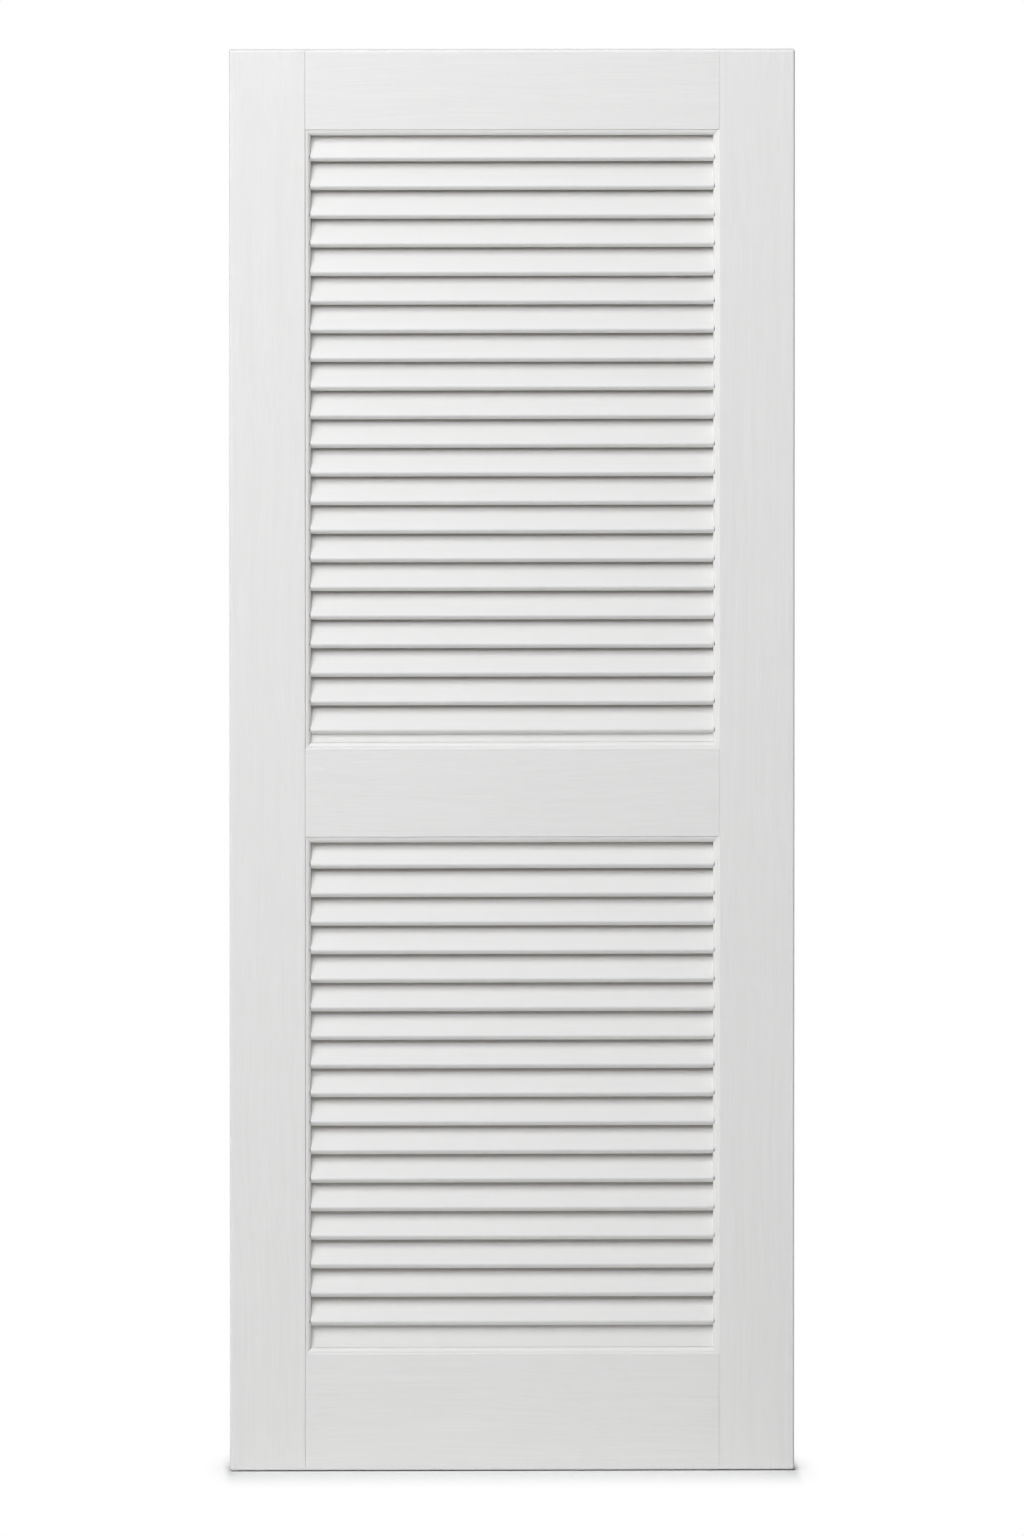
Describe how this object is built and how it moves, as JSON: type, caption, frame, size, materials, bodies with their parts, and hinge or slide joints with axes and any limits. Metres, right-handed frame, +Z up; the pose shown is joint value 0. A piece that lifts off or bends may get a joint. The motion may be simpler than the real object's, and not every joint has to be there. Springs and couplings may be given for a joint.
{
  "type": "louvered door",
  "caption": "White painted louvered door leaf: stiles and rails with ovolo sticking round an upper and a lower panel of fixed tilted slats, for a closet or wardrobe opening.",
  "frame": {"origin": "on the floor, under the middle of the leaf's width and thickness", "axes": "+Z up along the stiles, +X to the right of someone facing the front, +Y from the front face to the back"},
  "size_m": [0.806, 0.035, 2.032],
  "materials": {
    "painted_wood": "white satin paint over pine",
    "beech": "bare beech"
  },
  "bodies": {
    "root": {"left_stile": "painted_wood", "right_stile": "painted_wood", "top_rail": "painted_wood", "lock_rail": "painted_wood", "bottom_rail": "painted_wood", "upper_slat_01": "painted_wood", "upper_slat_02": "painted_wood", "upper_slat_03": "painted_wood", "upper_slat_04": "painted_wood", "upper_slat_05": "painted_wood", "upper_slat_06": "painted_wood", "upper_slat_07": "painted_wood", "upper_slat_08": "painted_wood", "upper_slat_09": "painted_wood", "upper_slat_10": "painted_wood", "upper_slat_11": "painted_wood", "upper_slat_12": "painted_wood", "upper_slat_13": "painted_wood", "upper_slat_14": "painted_wood", "upper_slat_15": "painted_wood", "upper_slat_16": "painted_wood", "upper_slat_17": "painted_wood", "upper_slat_18": "painted_wood", "upper_slat_19": "painted_wood", "upper_slat_20": "painted_wood", "upper_slat_21": "painted_wood", "upper_sill_slat": "painted_wood", "lower_slat_01": "painted_wood", "lower_slat_02": "painted_wood", "lower_slat_03": "painted_wood", "lower_slat_04": "painted_wood", "lower_slat_05": "painted_wood", "lower_slat_06": "painted_wood", "lower_slat_07": "painted_wood", "lower_slat_08": "painted_wood", "lower_slat_09": "painted_wood", "lower_slat_10": "painted_wood", "lower_slat_11": "painted_wood", "lower_slat_12": "painted_wood", "lower_slat_13": "painted_wood", "lower_slat_14": "painted_wood", "lower_slat_15": "painted_wood", "lower_slat_16": "painted_wood", "lower_slat_17": "painted_wood", "lower_sill_slat": "painted_wood", "top_rail_left_lower_dowel": "beech", "top_rail_left_upper_dowel": "beech", "top_rail_right_lower_dowel": "beech", "top_rail_right_upper_dowel": "beech", "lock_rail_left_lower_dowel": "beech", "lock_rail_left_upper_dowel": "beech", "lock_rail_right_lower_dowel": "beech", "lock_rail_right_upper_dowel": "beech", "bottom_rail_left_lower_dowel": "beech", "bottom_rail_left_upper_dowel": "beech", "bottom_rail_right_lower_dowel": "beech", "bottom_rail_right_upper_dowel": "beech"}
  },
  "joints": []
}
